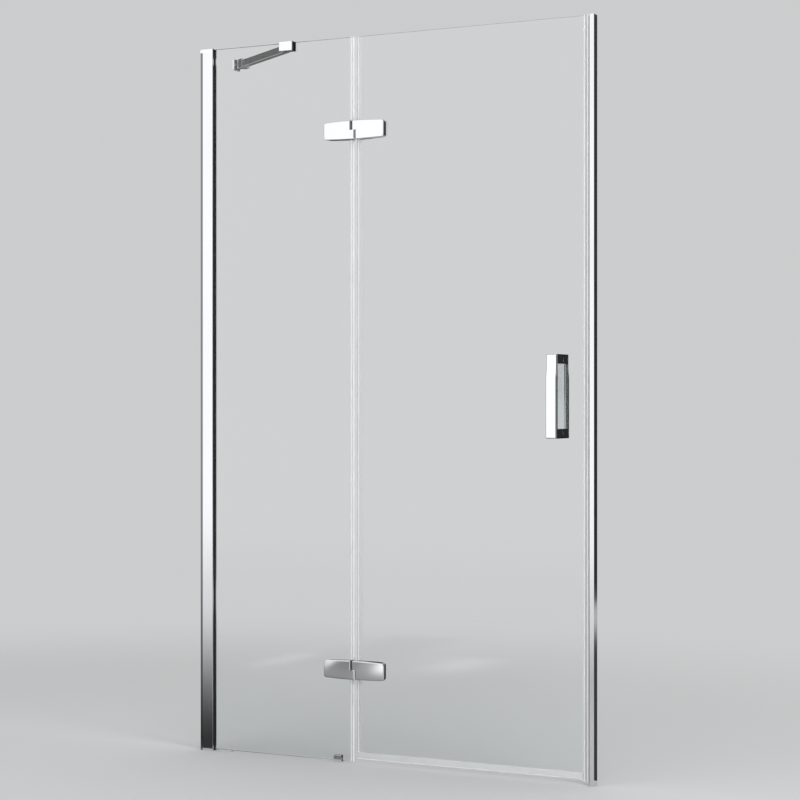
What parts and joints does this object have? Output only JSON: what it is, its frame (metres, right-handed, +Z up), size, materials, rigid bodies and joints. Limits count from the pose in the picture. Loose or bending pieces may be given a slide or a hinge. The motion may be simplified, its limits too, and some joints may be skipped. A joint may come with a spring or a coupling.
{
  "type": "hinged shower door with fixed panel",
  "caption": "Frameless glass shower door on glass-to-glass hinges beside a fixed panel, with wall profile, support bar, back-to-back handles and seals.",
  "frame": {"origin": "wall face of the wall profile, at floor level, in the middle plane of the glass", "axes": "+X along the glass from the wall profile to the closing side, +Y into the shower, +Z up"},
  "size_m": [1.19, 0.2545, 2.004],
  "materials": {
    "clear_glass": "clear toughened glass with polished edges",
    "clear_seal": "clear flexible plastic",
    "channel_aluminium": "bright anodised",
    "chromed_profile": "bright chrome-effect anodised",
    "grey_gasket": "matt grey",
    "soft_pad": "matt",
    "magnet_strip": "matt magnetic strip",
    "clear_plastic": "translucent",
    "plain_washer": "white low-friction plastic",
    "stainless_steel": "plain stainless steel",
    "chromed_plastic": "chrome-plated",
    "polished_chrome": "polished chrome plate"
  },
  "bodies": {
    "fixed_side": {"clamp_pivot_pin": "stainless_steel", "fixed_edge_seal_lower": "clear_seal", "fixed_edge_seal_middle": "clear_seal", "fixed_edge_seal_upper": "clear_seal", "fixed_glass": "clear_glass", "floor_clip": "polished_chrome", "floor_clip_liner": "soft_pad", "glass_clamp": "polished_chrome", "glass_clamp_pads": "soft_pad", "glass_clamp_screws": "stainless_steel", "glazing_gasket_back": "grey_gasket", "glazing_gasket_front": "grey_gasket", "glazing_profile": "chromed_profile", "hinge_fixed_cover_lower": "polished_chrome", "hinge_fixed_cover_upper": "polished_chrome", "hinge_fixed_pads_lower": "soft_pad", "hinge_fixed_pads_upper": "soft_pad", "hinge_fixed_plate_lower": "polished_chrome", "hinge_fixed_plate_upper": "polished_chrome", "hinge_fixed_screws": "stainless_steel", "hinge_pin_lower": "stainless_steel", "hinge_pin_upper": "stainless_steel", "hinge_washer_lower": "plain_washer", "hinge_washer_upper": "plain_washer", "profile_end_cap": "chromed_plastic", "profile_lock_screws": "stainless_steel", "setting_block": "clear_plastic", "strike_carrier": "grey_gasket", "strike_magnet": "magnet_strip", "strike_profile": "chromed_profile", "support_bar": "polished_chrome", "support_bar_end": "polished_chrome", "support_flange": "polished_chrome", "support_grub_screw": "stainless_steel", "support_socket": "polished_chrome", "wall_channel": "channel_aluminium", "wall_pivot_pin": "stainless_steel"},
    "door_leaf": {"closing_magnet": "magnet_strip", "closing_seal": "clear_seal", "door_bottom_seal": "clear_seal", "door_glass": "clear_glass", "door_hinge_seal_lower": "clear_seal", "door_hinge_seal_middle": "clear_seal", "door_hinge_seal_upper": "clear_seal", "handle_grub_screws": "stainless_steel", "handle_studs": "stainless_steel", "handle_washers": "clear_plastic", "hinge_bush_lower": "clear_plastic", "hinge_bush_upper": "clear_plastic", "hinge_door_cover_lower": "polished_chrome", "hinge_door_cover_upper": "polished_chrome", "hinge_door_pads_lower": "soft_pad", "hinge_door_pads_upper": "soft_pad", "hinge_door_plate_lower": "polished_chrome", "hinge_door_plate_upper": "polished_chrome", "hinge_door_screws": "stainless_steel", "inner_handle": "polished_chrome", "outer_handle": "polished_chrome"}
  },
  "joints": [
    {"name": "door_swing", "type": "hinge", "parent": "fixed_side", "child": "door_leaf", "pos_m": [0.4922, -0.0106, 0.2575], "axis": [0, 0, -1], "range_deg": [0, 90]}
  ]
}
